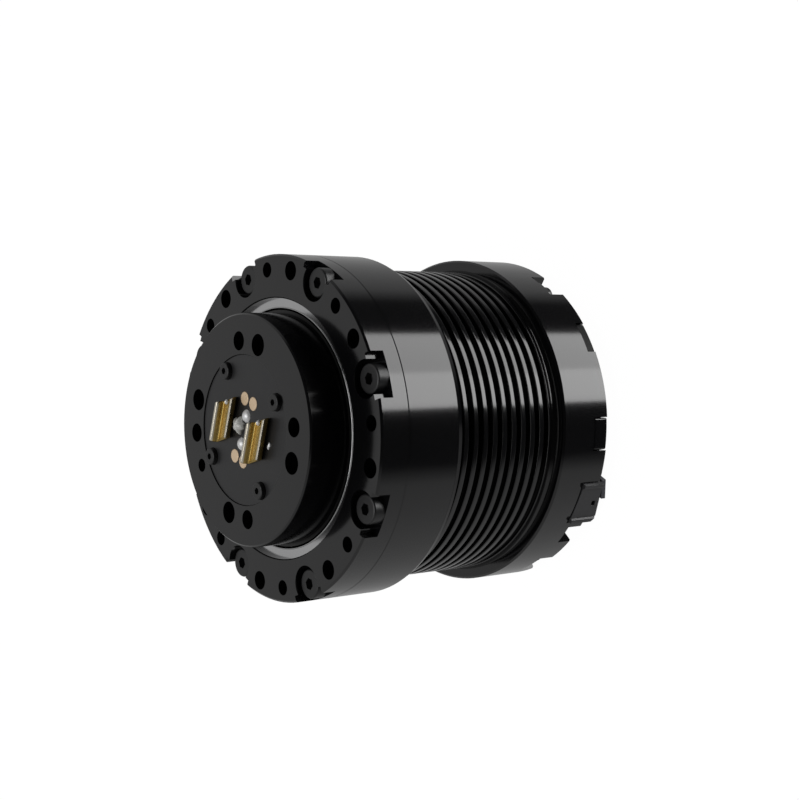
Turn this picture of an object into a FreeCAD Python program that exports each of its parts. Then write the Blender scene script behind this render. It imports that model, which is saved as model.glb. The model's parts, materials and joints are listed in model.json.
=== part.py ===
import FreeCAD, Part
import math
import os

from FreeCAD import Vector

# Robot joint actuator: a hollow-shaft brushless motor and a two-stage planetary gearbox in one
# round case. +Z is the output axis and points out of the output flange. The part stands on the
# flat cap of its rear cover, and the origin is the centre of that cap. Lengths are in mm, angles
# in degrees from +X.

# ---- gears: one ring gear serves both stages
module = 0.6
ring_teeth = 72
sun1_teeth = 18
sun2_teeth = 30
pressure_angle = 20.0
backlash = 0.12
ring_gear_rim = 1.65         # the ring gear's wall outside its tooth roots
key_radius = 0.8             # round keys between the ring gear and the housing
key_count = 4
key_start = 22.5
planet_count = 3
planet1_start = 20.0         # direction of the first planet of each stage
planet2_start = 50.0
stage1_face = 4.2
stage2_face = 4.2
gear_gap = 0.2               # axial gap between a gear and its carrier
stage_gap = 0.3              # axial gap between parts that turn at different speeds
pin_radius = 1.5
pin_clearance = 0.03
pin_hold = 3.5               # how deep a second stage pin sits in the output flange
carrier1_thickness = 1.7
carrier1_edge = 4.0          # carrier edge to the ring gear's tooth tips
carrier1_window = 2.6
carrier2_thickness = 1.4
carrier2_edge = 0.4
carrier2_bore_gap = 0.6      # carrier plate to the second sun's tips
pillar_radius = 3.2
pillar_edge = 4.4            # pillar axis to the ring gear's tooth tips
carrier_screw_radius = 1.0
carrier_screw_length = 7.0
carrier_head_radius = 1.9
carrier_sink_gap = 0.1

# ---- case
bore_step = 1.0              # the case bore over the ring gear's seat, on the radius
case_wall = 7.0              # case bore to the outside
cap_height = 3.2             # the rear cap stands this far behind the rear rim
cap_step = 0.5               # cap side to the wall of the rear cavity
cap_wall = 1.2
cap_chamfer = 0.3
rear_wall = 5.0              # wall of the rear cavity
flange_overlap = 1.9         # the wide rear flange reaches this far past the back of the stator
seam_above_mid_plate = 1.5   # joint of barrel and gear housing, above the mid plate
front_cover_thickness = 6.1
flange_stand_out = 6.9       # output face above the front face
edge_chamfer = 0.35
lip_chamfer = 0.2
seam_chamfer = 0.12
housing_rear_round = 1.6
slip = 0.02                  # clearance of a located fit, on the radius
seat_gap = 0.05              # clearance of a loose register, on the radius
spigot_wall = 1.4            # gear housing spigot round the ring gear

# ---- cooling ribs on the barrel
rib_step = 2.4               # rib tops under the outside of the case
groove_depth = 1.4
groove_width = 1.35
groove_pitch = 2.31
groove_count = 10
first_groove_drop = 1.1
rib_rounding = 0.4

# ---- screws between barrel and gear housing
barrel_screw_count = 8
barrel_screw_start = 22.5
barrel_screw_step = 1.6      # screw axis outside the spigot
barrel_screw_radius = 0.8
barrel_screw_length = 7.0
barrel_screw_floor = 2.4     # housing under the head
barrel_thread_depth = 5.0
barrel_head_radius = 1.4
barrel_head_height = 1.6
head_gap = 0.1               # head to its sink, on the radius

# ---- motor
stator_depth = 9.0           # case bore to stator bore
stack_length = 20.0
stator_back = 2.5
tooth_width = 3.4
shoe_height = 1.2
shoe_width = 6.4
slot_count = 12
coil_overhang = 2.2
coil_thickness = 2.2
coil_gap = 0.1
winding_gap = 0.4            # windings to the plates at either end
air_gap = 0.5
magnet_count = 14
magnet_thickness = 2.2
magnet_arc = 23.6
rotor_inset = 0.4            # rotor ends inside the stack's ends
rotor_back = 2.3
rotor_web = 3.0
rotor_hub_wall = 2.5
rotor_hole_radius = 1.5
rotor_hole_count = 6
shaft_wall = 0.8

# ---- plates, bearings
plate_thickness = 2.0
plate_hub_wall = 1.8
rotor_bearing_radius = 8.0
rotor_bearing_width = 4.0
rotor_bearing_lip = 0.8      # shoulder of the mid plate over the bearing
rear_bearing_lip = 0.3
rear_bearing_rise = 1.6      # bearing above the rear face of its plate
mid_bearing_drop = 0.2
rotor_ball_radius = 1.2
rotor_ball_count = 7
cage_half_width = 1.6
cage_half_wall = 0.4
outer_race_depth = 2.7       # roller circle to the outside of the output bearing
inner_race_depth = 2.3
inner_race_gap = 0.5
outer_race_gap = 0.05
output_bearing_width = 6.0
bearing_lip = 1.2
bearing_shoulder = 1.0       # the cover's lip over the bearing
roller_diameter = 2.6
roller_count = 36
wire_hole_radius = 1.6
wire_hole_step = 4.0         # wire holes outside the stator bore
wire_hole_start = 100.0

# ---- front face
rim_hole_edge = 2.75         # hole circle to the outside of the case
front_screw_count = 8
front_screw_radius = 1.25    # root of the thread
front_screw_hole = 1.58
front_screw_length = 9.0
front_head_radius = 2.7
front_head_height = 2.3
front_head_gap = 0.7
pocket_depth = 3.0
pocket_notch_width = 8.4
pocket_notch_step = 1.25     # the notch starts this far outside the hole circle
large_hole_radius = 1.75
small_hole_radius = 1.41
mount_hole_depth = 10.0
large_hole_angle = 15.0
small_hole_angle = 30.0

# ---- output flange
flange_overhang = 1.25       # flange over its bearing seat
flange_hole_edge = 5.05      # hole circle to the flange's edge
flange_hole_count = 4
bolt_hole_radius = 1.75
wide_hole_radius = 2.0
dowel_hole_radius = 1.25
flange_hole_depth = 7.0
bolt_hole_angle = -15.0
wide_hole_angle = -37.5
dowel_hole_angle = 97.5

# ---- terminal board on the output flange
board_to_holes = 0.55        # board edge to the wide holes
board_gap = 0.1
board_thickness = 1.6
board_sink = 0.2
board_screw_edge = 1.75
board_screw_angle = 7.5
board_screw_count = 4
board_screw_radius = 0.8
board_screw_length = 5.0
board_thread_spare = 0.5
board_head_radius = 1.55
board_head_height = 1.5
board_counterbore = 0.6
terminal_axis = -37.5        # the terminals' walls run along this direction
terminal_offset = 5.5
terminal_width = 5.2
terminal_length = 7.0
terminal_wall = 0.65
terminal_base = 0.3
terminal_height = 1.8
pad_circle = 5.75
pad_spread = 14.5
pad_radius = 1.4
pad_thickness = 0.15
joint_circle = 2.7
joint_radius = 1.2
joint_height = 0.7

# ---- wire passage
tube_radius = 2.9
tube_wall = 0.5
shaft_gap = 0.3              # hollow shaft round the tube
tube_gap = 0.4               # first carrier round the tube
lead_radius = 0.55
lead_circle = 1.35
lead_count = 4
lead_start = 45.0
tube_tail = 0.6              # tube and leads reach this far behind the driver board

# ---- rear electronics
board_above_rim = 2.4
driver_board_gap = 1.5       # board edge to the cavity wall
driver_board_thickness = 1.6
driver_hole_gap = 0.7        # board round the wire tube
standoff_height = 1.2
standoff_radius = 1.8
driver_screw_count = 4
driver_screw_start = 45.0
driver_screw_edge = 5.0      # screw axis to the board's edge
driver_screw_radius = 0.8
driver_screw_spare = 0.4
driver_head_radius = 1.5
driver_head_height = 1.3
screw_clearance = 0.1
capacitor_radius = 2.5
capacitor_height = 3.4
capacitor_edge = 8.3         # capacitor axis to the board's edge
capacitor_angles = (158.0, 180.0, 202.0)
transistor_count = 6
transistor_start = 15.0
transistor_inner = 8.4
transistor_length = 4.5
transistor_width = 4.2
transistor_height = 1.0
chip_inner = 13.4
chip_size = 7.0
chip_height = 1.1
chip_angle = -28.0
magnet_ring_thickness = 1.6
magnet_ring_gap = 0.2
magnet_ring_edge = 0.8
sensor_inner = 4.4
sensor_length = 3.2
sensor_width = 3.0
sensor_height = 0.7
sensor_angle = 45.0

# ---- rear cover and the clip behind the bearing plate
rear_shoulder_drop = 0.6     # the bearing plate's shoulder behind the stator
rear_plate_rim = 0.2
cover_disc_thickness = 2.0
cover_disc_sink = 0.2
cover_disc_gap = 0.1
rear_screw_edge = 2.7        # screw circle to the outside of the case
rear_screw_count = 6
rear_screw_angle = 7.5
rear_screw_radius = 1.0
rear_screw_hole = 1.1
rear_screw_length = 6.5
rear_head_radius = 1.9
rear_head_height = 1.6
rear_head_gap = 1.0
rear_pocket_depth = 3.8
rear_notch_width = 6.4
rear_notch_step = 0.6
rear_notches = ((4.4, 3.6, -152.0), (6.4, 2.4, -78.0))  # width, depth and direction
ear_thickness = 1.3
ear_gap = 0.15
ear_inset = 0.5
strap_gap = 0.3
clip_thickness = 1.0
clip_groove_depth = 0.7
clip_play = 0.1
clip_width = 1.7
clip_lug_radius = 1.3
clip_lug_inset = 1.6
clip_eye_radius = 0.5
clip_side_gap = 1.0

# ---- connector in the rear rim
connector_angle = -137.5
connector_width = 8.6
connector_height = 5.0
connector_reach = 2.2        # how far it reaches inside the cavity wall
connector_stand_out = 0.5
connector_drop = 0.3         # the connector reaches this far behind the rear rim
window_gap = 0.3
socket_width = 7.0
socket_height = 2.6
socket_depth = 5.0
socket_floor = 1.1
latch_length = 3.0
latch_width = 4.2
latch_height = 1.3
latch_stand_out = 0.3
contact_count = 5
contact_width = 0.6
contact_thickness = 0.2
contact_inset = 1.5          # contact ends inside the connector's mouth
contact_reach = 1.4          # how far the contacts lie over the board

# ---- heights along the axis, worked out from the rear cap to the output face
rim_z = cap_height
driver_z = rim_z + board_above_rim
driver_top = driver_z + driver_board_thickness
rear_plate_z = driver_top + standoff_height
rear_plate_top = rear_plate_z + plate_thickness
stack_z = rear_plate_top + winding_gap + coil_overhang
stack_top = stack_z + stack_length
mid_plate_z = stack_top + coil_overhang + winding_gap
mid_plate_top = mid_plate_z + plate_thickness
gear1_z = mid_plate_top + stage_gap
gear1_top = gear1_z + stage1_face
carrier1_z = gear1_top + gear_gap
carrier1_top = carrier1_z + carrier1_thickness
carrier2_z = carrier1_top + stage_gap
carrier2_top = carrier2_z + carrier2_thickness
gear2_z = carrier2_top + gear_gap
gear2_top = gear2_z + stage2_face
bearing_z = gear2_top + gear_gap + stage_gap
bearing_top = bearing_z + output_bearing_width
face_z = bearing_top + bearing_lip
output_z = face_z + flange_stand_out
flange_base_z = gear2_top + stage_gap
seam_z = face_z - front_cover_thickness
barrel_top = mid_plate_top + seam_above_mid_plate
flange_front_z = stack_z + flange_overlap
shoulder_z = stack_z - rear_shoulder_drop


# ---- radii, worked out from the gears to the outside of the case
root_depth = 1.25 * module
ring_tip_radius = module * (ring_teeth / 2 - 1)
ring_gear_radius = module * ring_teeth / 2 + root_depth + ring_gear_rim
case_bore = ring_gear_radius + bore_step
outer_radius = case_bore + case_wall
spigot_radius = ring_gear_radius + spigot_wall
carrier1_radius = ring_tip_radius - carrier1_edge
pillar_circle = ring_tip_radius - pillar_edge
barrel_screw_circle = spigot_radius + barrel_screw_step
rib_radius = outer_radius - rib_step
cavity_radius = outer_radius - rear_wall
cap_radius = cavity_radius - cap_step
tube_bore = tube_radius - tube_wall
shaft_bore = tube_radius + shaft_gap
shaft_radius = shaft_bore + shaft_wall
stator_radius = case_bore
stator_bore = stator_radius - stator_depth
output_bearing_radius = case_bore
roller_circle = output_bearing_radius - outer_race_depth
output_bearing_bore = roller_circle - inner_race_depth
front_bore = output_bearing_radius - bearing_shoulder
flange_radius = output_bearing_bore + flange_overhang
flange_hole_circle = flange_radius - flange_hole_edge
board_radius = flange_hole_circle - wide_hole_radius - board_to_holes
board_screw_circle = board_radius - board_screw_edge
rim_hole_circle = outer_radius - rim_hole_edge
pocket_seat_radius = front_head_radius + front_head_gap
pocket_notch_inner = rim_hole_circle + pocket_notch_step
driver_board_radius = cavity_radius - driver_board_gap
driver_screw_circle = driver_board_radius - driver_screw_edge
rear_screw_circle = outer_radius - rear_screw_edge
rear_pocket_radius = rear_head_radius + rear_head_gap
connector_inner = cavity_radius - connector_reach
connector_outer = outer_radius + connector_stand_out
window_height = connector_height - connector_drop + window_gap
board_z = output_z - board_sink - board_thickness
board_top = output_z - board_sink
planet1_teeth = (ring_teeth - sun1_teeth) // 2
planet2_teeth = (ring_teeth - sun2_teeth) // 2
orbit1 = module * (sun1_teeth + planet1_teeth) / 2
orbit2 = module * (sun2_teeth + planet2_teeth) / 2
pillar_start = planet2_start + 180.0 / planet_count
barrel_bore = stator_radius + seat_gap
rotor_radius = stator_bore - air_gap
rotor_iron_radius = rotor_radius - magnet_thickness
rear_bearing_z = rear_plate_z + rear_bearing_rise
mid_bearing_z = mid_plate_top - mid_bearing_drop - rotor_bearing_width
magnet_ring_z = rear_plate_z - magnet_ring_gap
pocket_seat_z = face_z - pocket_depth
rear_seat_z = rim_z + rear_pocket_depth
groove_first_z = barrel_top - first_groove_drop


# ---- shape helpers
def polar(radius, angle, z=0.0):
    """The point at a radius and an angle about the axis."""
    turn = math.radians(angle)
    return Vector(radius * math.cos(turn), radius * math.sin(turn), z)


def cylinder(radius, z0, z1, at=(0.0, 0.0)):
    """An upright cylinder; at is the radius and angle of its axis."""
    return Part.makeCylinder(radius, z1 - z0, polar(at[0], at[1], z0))


def ring(inner, outer, z0, z1):
    """A flat or tall ring about the axis."""
    return cylinder(outer, z0, z1).cut(cylinder(inner, z0 - 1, z1 + 1))


def spin(profile):
    """A solid of revolution from (radius, z) corners."""
    points = [Vector(r, 0, z) for r, z in profile]
    face = Part.Face(Part.makePolygon(points + points[:1]))
    return face.revolve(Vector(), Vector(0, 0, 1), 360)


def block(x0, x1, width, z0, z1, angle, shift=0.0):
    """A box from x0 to x1 along a direction, centred across it or shifted to its left."""
    box = Part.makeBox(x1 - x0, width, z1 - z0, Vector(x0, shift - width / 2, z0))
    box.rotate(Vector(), Vector(0, 0, 1), angle)
    return box


def around(make, count, start=0.0):
    """One shape for each of count equal turns about the axis."""
    return [make(start + 360.0 * i / count) for i in range(count)]


def joined(shapes):
    """One body from overlapping shapes."""
    shapes = list(shapes)
    return shapes[0].multiFuse(shapes[1:]).removeSplitter()


def less(shape, *tools):
    """The shape with every tool, or every tool of a list, cut away."""
    flat = [t for tool in tools for t in (tool if isinstance(tool, list) else [tool])]
    return shape.cut(flat)


def save(name, *shapes):
    """Writes the node's solids as one STEP file."""
    flat = [s for shape in shapes for s in (shape if isinstance(shape, list) else [shape])]
    solids = [solid for shape in flat for solid in shape.Solids]
    body = solids[0] if len(solids) == 1 else Part.makeCompound(solids)
    if not body.isValid():
        raise ValueError(name + " isn't a valid solid")
    body.exportStep("parts/" + name + ".step")
    print(name, len(solids), "solids", round(body.Volume, 2), "mm3")


def hex_socket(radius, z0, z1, at):
    """A hexagonal prism, radius across corners, for a screw's socket."""
    centre = polar(at[0], at[1], z0)
    corners = [centre + polar(radius, 60 * i) for i in range(6)]
    face = Part.Face(Part.makePolygon(corners + corners[:1]))
    return face.extrude(Vector(0, 0, z1 - z0))


def cap_screw(seat, length, radius, head_radius, head_height, at, up=1):
    """A socket head screw standing on its seat, head towards up (1 is +Z, -1 is -Z)."""
    rounding = 0.16 * head_height
    head = Part.makeCylinder(head_radius, head_height)
    head = head.makeFillet(rounding, [e for e in head.Edges
                                      if e.Curve.TypeId == "Part::GeomCircle"
                                      and e.CenterOfMass.z > head_height / 2])
    shank = Part.makeCylinder(radius, length, Vector(0, 0, -length))
    screw = head.fuse(shank).removeSplitter()
    screw = screw.cut(hex_socket(0.42 * head_radius, 0.45 * head_height, head_height + 1, (0, 0)))
    if up < 0:
        screw.rotate(Vector(), Vector(1, 0, 0), 180)
    screw.translate(polar(at[0], at[1], seat))
    return screw


# ---- gears
def involute_angle(radius, base_radius):
    """The angle, in radians, that an involute has turned through at a radius."""
    if radius <= base_radius:
        return 0.0
    alpha = math.acos(base_radius / radius)
    return math.tan(alpha) - alpha


def gear_outline(teeth, low, high, phase, play):
    """A closed gear outline; low and high are the depths under and over the pitch circle."""
    pitch_radius = module * teeth / 2
    base_radius = pitch_radius * math.cos(math.radians(pressure_angle))
    half_pitch = math.pi / (2 * teeth) - play / (4 * pitch_radius)
    at_pitch = involute_angle(pitch_radius, base_radius)
    radii = [pitch_radius - low, pitch_radius, pitch_radius + high]

    def corner(radius, side, centre):
        half = half_pitch + at_pitch - involute_angle(radius, base_radius)
        return polar(radius, math.degrees(centre + side * half))

    corners = []
    for tooth in range(teeth):
        centre = math.radians(phase) + 2 * math.pi * tooth / teeth
        corners += [corner(r, -1, centre) for r in radii]
        corners += [corner(r, 1, centre) for r in reversed(radii)]
    return Part.Face(Part.makePolygon(corners + corners[:1]))


def spur_gear(teeth, z0, z1, phase, centre=(0.0, 0.0)):
    """An external spur gear; phase is the direction of one tooth."""
    face = gear_outline(teeth, root_depth, module, phase, backlash)
    gear = face.extrude(Vector(0, 0, z1 - z0))
    gear.translate(polar(centre[0], centre[1], z0))
    return gear


def planet_phase(angle, teeth):
    """A planet's tooth direction that meshes with the ring gear, whose tooth lies on +X."""
    passed = angle * ring_teeth / 360.0
    return angle - (passed - 0.5) * 360.0 / teeth


def sun_phase(start, sun, planet):
    """The sun's tooth direction that meshes with the planets."""
    return (start * (sun + ring_teeth) + 180.0 * planet) / sun


def make_gears():
    """Ring gear, planets and the pins that the planets turn on."""
    body = cylinder(ring_gear_radius - slip, mid_plate_top + 0.1, bearing_z - 0.1)
    space = gear_outline(ring_teeth, module, root_depth, 180.0 / ring_teeth, -backlash)
    space = space.extrude(Vector(0, 0, face_z))
    keys = around(lambda a: cylinder(key_radius + slip, 0, face_z, (ring_gear_radius, a)),
                  key_count, key_start)
    save("ring_gear", less(body, space, keys))
    save("ring_gear_pins", around(
        lambda a: cylinder(key_radius, carrier1_z, bearing_z - 0.1, (ring_gear_radius, a)),
        key_count, key_start))

    stages = (("stage1", planet1_start, orbit1, planet1_teeth, gear1_z, gear1_top),
              ("stage2", planet2_start, orbit2, planet2_teeth, gear2_z, gear2_top))
    for name, start, orbit, teeth, low, high in stages:
        for i in range(planet_count):
            angle = start + 360.0 * i / planet_count
            gear = spur_gear(teeth, low, high, planet_phase(angle, teeth), (orbit, angle))
            bore = cylinder(pin_radius + pin_clearance, low - 1, high + 1, (orbit, angle))
            gear = less(gear, bore)
            save(name + "_planet_" + str(i + 1), gear)
    save("stage1_pins", around(
        lambda a: cylinder(pin_radius, gear1_z, carrier1_top, (orbit1, a)),
        planet_count, planet1_start))
    save("stage2_pins", around(
        lambda a: cylinder(pin_radius, carrier2_z, flange_base_z + pin_hold, (orbit2, a)),
        planet_count, planet2_start))


def make_carriers():
    """First carrier with the second sun on it, and the rear plate of the output carrier."""
    plate = cylinder(carrier1_radius, carrier1_z, carrier1_top)
    sun = spur_gear(sun2_teeth, carrier1_top - 0.1, gear2_top,
                    sun_phase(planet2_start, sun2_teeth, planet2_teeth))
    windows = around(lambda a: cylinder(carrier1_window, 0, output_z, (orbit1, a)),
                     planet_count, planet1_start + 180.0 / planet_count)
    carrier = less(joined([plate, sun]), cylinder(tube_radius + tube_gap, 0, output_z), windows,
                   around(lambda a: cylinder(pin_radius, 0, output_z, (orbit1, a)),
                          planet_count, planet1_start))
    save("stage1_carrier", carrier)

    def countersink(angle, head, shank, low, high):
        body = spin([(0, low), (head, low), (shank, low + head - shank), (shank, high), (0, high)])
        body.translate(polar(pillar_circle, angle))
        return body

    def carrier_screw(angle):
        low = carrier2_z + carrier_sink_gap
        body = countersink(angle, carrier_head_radius, carrier_screw_radius, low,
                           carrier2_z + carrier_screw_length)
        socket = hex_socket(0.75 * carrier_screw_radius, carrier2_z, carrier2_z + 0.8,
                            (pillar_circle, angle))
        return body.cut(socket)

    sinks = around(lambda a: countersink(a, carrier_head_radius + carrier_sink_gap,
                                         carrier_screw_radius + seat_gap, carrier2_z, output_z),
                   planet_count, pillar_start)
    plate = ring(module * (sun2_teeth / 2 + 1) + carrier2_bore_gap, ring_tip_radius - carrier2_edge,
                 carrier2_z, carrier2_top)
    save("output_carrier_plate", less(plate, sinks, around(
        lambda a: cylinder(pin_radius, 0, output_z, (orbit2, a)), planet_count, planet2_start)))
    save("carrier_screws", around(carrier_screw, planet_count, pillar_start))


# ---- output side
def make_output_flange():
    """The output flange: a boss in front of its bearing seat, with pillars for the rear plate."""
    body = spin([(0, flange_base_z), (output_bearing_bore - slip, flange_base_z),
                 (output_bearing_bore - slip, bearing_top), (flange_radius, bearing_top),
                 (flange_radius, output_z - edge_chamfer), (flange_radius - edge_chamfer, output_z),
                 (0, output_z)])
    pillars = around(lambda a: cylinder(pillar_radius, carrier2_top, flange_base_z + 1,
                                        (pillar_circle, a)), planet_count, pillar_start)
    low = output_z - flange_hole_depth
    tools = [cylinder(tube_radius, 0, output_z + 1),
             cylinder(board_radius + board_gap, board_z, output_z + 1),
             cylinder(dowel_hole_radius, low, output_z + 1, (flange_hole_circle, dowel_hole_angle))]
    tools += around(lambda a: cylinder(bolt_hole_radius, low, output_z + 1, (flange_hole_circle, a)),
                    flange_hole_count, bolt_hole_angle)
    tools += around(lambda a: cylinder(wide_hole_radius, low, output_z + 1, (flange_hole_circle, a)),
                    flange_hole_count, wide_hole_angle)
    tools += around(lambda a: cylinder(pin_radius, 0, flange_base_z + pin_hold, (orbit2, a)),
                    planet_count, planet2_start)
    tools += around(lambda a: cylinder(carrier_screw_radius, 0, carrier2_z + carrier_screw_length + 0.5,
                                       (pillar_circle, a)), planet_count, pillar_start)
    tools += around(lambda a: cylinder(board_screw_radius, board_z - board_screw_length, output_z,
                                       (board_screw_circle, a)), board_screw_count, board_screw_angle)
    save("output_flange", less(joined([body] + pillars), tools))


def make_terminal_board():
    """The round terminal board, its screws, the two channel terminals, pads and solder joints."""
    head_z = board_top - board_counterbore
    holes = around(lambda a: cylinder(board_screw_radius + 0.1, 0, output_z,
                                      (board_screw_circle, a)), board_screw_count, board_screw_angle)
    sinks = around(lambda a: cylinder(board_head_radius + 0.1, head_z, output_z,
                                      (board_screw_circle, a)), board_screw_count, board_screw_angle)
    save("terminal_board", less(cylinder(board_radius, board_z, board_top), holes, sinks))
    reach = head_z - board_z + board_screw_length - board_thread_spare
    save("terminal_board_screws", around(
        lambda a: cap_screw(head_z, reach, board_screw_radius, board_head_radius,
                            board_head_height, (board_screw_circle, a)),
        board_screw_count, board_screw_angle))

    def terminal(side):
        half = terminal_length / 2
        outer = block(-half, half, terminal_width, board_top, board_top + terminal_height,
                      terminal_axis, side * terminal_offset)
        inner = block(-half - 1, half + 1, terminal_width - 2 * terminal_wall,
                      board_top + terminal_base, output_z + terminal_height + 1,
                      terminal_axis, side * terminal_offset)
        return outer.cut(inner)

    save("terminals", terminal(1), terminal(-1))
    pad_angles = [terminal_axis + turn + side * pad_spread for turn in (0, 180) for side in (-1, 1)]
    save("contact_pads", [cylinder(pad_radius, board_top, board_top + pad_thickness, (pad_circle, a))
                          for a in pad_angles])

    def solder(angle):
        dome = Part.makeSphere((joint_radius ** 2 + joint_height ** 2) / (2 * joint_height))
        dome.translate(polar(joint_circle, angle, board_top + joint_height - dome.BoundBox.ZMax))
        return dome.common(cylinder(2 * joint_radius, board_top, output_z + 2, (joint_circle, angle)))

    save("solder_joints", around(solder, 2, terminal_axis))


def make_wire_passage():
    """The tube that carries the leads through the hollow shaft, and the leads."""
    low = driver_z - tube_tail
    save("wire_tube", ring(tube_bore, tube_radius, low, board_z))
    save("pass_through_leads", around(
        lambda a: cylinder(lead_radius, low, board_z, (lead_circle, a)),
        lead_count, lead_start))


def make_output_bearing():
    """A crossed-roller bearing: rollers turned 45 degrees each way in a square track."""
    middle = (bearing_z + bearing_top) / 2
    half = (roller_diameter / 2 + slip) * math.sqrt(2)
    track = spin([(roller_circle - half, middle), (roller_circle, middle - half),
                  (roller_circle + half, middle), (roller_circle, middle + half)])
    save("output_bearing_outer_ring", less(
        ring(roller_circle - outer_race_gap, output_bearing_radius - slip, bearing_z, bearing_top), track))
    save("output_bearing_inner_ring", less(
        ring(output_bearing_bore, roller_circle - inner_race_gap, bearing_z, bearing_top), track))

    rollers = []
    length = roller_diameter - 0.1
    for i in range(roller_count):
        roller = Part.makeCylinder(roller_diameter / 2, length, Vector(0, 0, -length / 2))
        roller.rotate(Vector(), Vector(0, 1, 0), 45 if i % 2 else -45)
        roller.translate(Vector(roller_circle, 0, middle))
        roller.rotate(Vector(), Vector(0, 0, 1), 360.0 * i / roller_count)
        rollers.append(roller)
    save("output_bearing_rollers", rollers)


# ---- rotor and stator
def make_rotor():
    """Hollow shaft with the first sun cut on it, iron cup, magnets and encoder magnet."""
    shaft = cylinder(shaft_radius, magnet_ring_z, gear1_z)
    sun = spur_gear(sun1_teeth, gear1_z - stage_gap, gear1_top,
                    sun_phase(planet1_start, sun1_teeth, planet1_teeth))
    save("rotor_shaft", less(joined([shaft, sun]), cylinder(shaft_bore, 0, output_z)))

    low = stack_z + rotor_inset
    high = stack_top - rotor_inset
    middle = (low + high) / 2
    hub = shaft_radius + rotor_hub_wall
    rim = rotor_iron_radius - rotor_back
    core = spin([(shaft_radius + slip, rear_bearing_z + rotor_bearing_width + 0.4),
                 (hub, rear_bearing_z + rotor_bearing_width + 0.4), (hub, middle - rotor_web / 2),
                 (rim, middle - rotor_web / 2), (rim, low), (rotor_iron_radius, low),
                 (rotor_iron_radius, high), (rim, high), (rim, middle + rotor_web / 2),
                 (hub, middle + rotor_web / 2), (hub, mid_bearing_z - 0.4),
                 (shaft_radius + slip, mid_bearing_z - 0.4)])
    web_radius = (hub + rim) / 2
    save("rotor_core", less(core, around(
        lambda a: cylinder(rotor_hole_radius, low, high, (web_radius, a)), rotor_hole_count)))

    def magnet(angle):
        arc = ring(rotor_iron_radius, rotor_radius, low, high)
        half = math.radians(magnet_arc / 2)
        reach = 2 * rotor_radius
        wedge = Part.Face(Part.makePolygon([Vector(), Vector(reach, -reach * math.tan(half), 0),
                                            Vector(reach, reach * math.tan(half), 0), Vector()]))
        wedge = wedge.extrude(Vector(0, 0, output_z))
        piece = arc.common(wedge)
        piece.rotate(Vector(), Vector(0, 0, 1), angle)
        return piece

    save("rotor_magnets", around(magnet, magnet_count))
    save("encoder_magnet", ring(shaft_radius + slip, rotor_bearing_radius - magnet_ring_edge, magnet_ring_z,
                                magnet_ring_z + magnet_ring_thickness))


def make_stator():
    """Slotted core with one coil round each tooth."""
    inner_back = stator_radius - stator_back
    teeth = around(lambda a: block(stator_bore - 0.5, stator_radius - 0.5, tooth_width, stack_z,
                                   stack_top, a), slot_count)
    shoes = around(lambda a: block(stator_bore - 0.5, stator_bore + shoe_height, shoe_width, stack_z,
                                   stack_top, a), slot_count)
    core = joined([ring(inner_back, stator_radius, stack_z, stack_top)] + teeth + shoes)
    save("stator_core", less(core, cylinder(stator_bore, 0, output_z)))

    inner = stator_bore + shoe_height + 0.3
    outer = inner_back - 0.5
    hole = tooth_width + 2 * coil_gap

    def coil(angle):
        low, high = stack_z - coil_overhang, stack_top + coil_overhang
        winding = block(inner, outer, hole + 2 * coil_thickness, low, high, angle)
        upright = [e for e in winding.Edges if abs(e.Vertexes[0].Z - e.Vertexes[1].Z) < 0.1
                   and abs(e.Length - (outer - inner)) < 0.01]
        winding = winding.makeFillet(coil_overhang * 0.8, upright)
        return winding.cut(block(inner - 1, outer + 1, hole, stack_z - coil_gap,
                                 stack_top + coil_gap, angle))

    save("stator_coils", around(coil, slot_count))


def make_rotor_bearings():
    """Two ball bearings on the rotor shaft: outer rings, inner rings, balls in their cages."""
    circle = (shaft_radius + rotor_bearing_radius) / 2
    shoulder = 0.5 * rotor_ball_radius
    outers, inners, balls = [], [], []
    for low in (rear_bearing_z, mid_bearing_z):
        high = low + rotor_bearing_width
        middle = (low + high) / 2
        groove = Part.makeTorus(circle, rotor_ball_radius + slip, Vector(0, 0, middle))
        outers.append(less(ring(circle + shoulder, rotor_bearing_radius, low, high), groove))
        inners.append(less(ring(shaft_radius, circle - shoulder, low, high), groove))
        spots = around(lambda a: polar(circle, a, middle), rotor_ball_count)
        balls += [Part.makeSphere(rotor_ball_radius, spot) for spot in spots]
        cage = ring(circle - cage_half_wall, circle + cage_half_wall,
                    middle - cage_half_width, middle + cage_half_width)
        reach = 2 * rotor_ball_radius
        pockets = around(lambda a: Part.makeCylinder(
            rotor_ball_radius + seat_gap, 2 * reach, polar(circle - reach, a, middle), polar(1, a)),
            rotor_ball_count)
        balls.append(less(cage, pockets))
    save("rotor_bearing_outer_rings", outers)
    save("rotor_bearing_inner_rings", inners)
    save("rotor_bearing_balls", balls)


# ---- case
def screw_pocket(seat_z, rim, seat_radius, circle, notch_inner, notch_width, angle):
    """The space of a screw pocket: a round seat that opens through a wider notch in the rim."""
    low, high = min(seat_z, rim), max(seat_z, rim)
    seat = cylinder(seat_radius, low, high, (circle, angle))
    notch = block(notch_inner, outer_radius + 2, notch_width, low, high, angle)
    return seat.fuse(notch)


def mount_holes(low, high):
    """The two sets of mounting holes in the front rim."""
    large = around(lambda a: cylinder(large_hole_radius, low, high, (rim_hole_circle, a)),
                   front_screw_count, large_hole_angle)
    small = around(lambda a: cylinder(small_hole_radius, low, high, (rim_hole_circle, a)),
                   front_screw_count, small_hole_angle)
    return large + small


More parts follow.
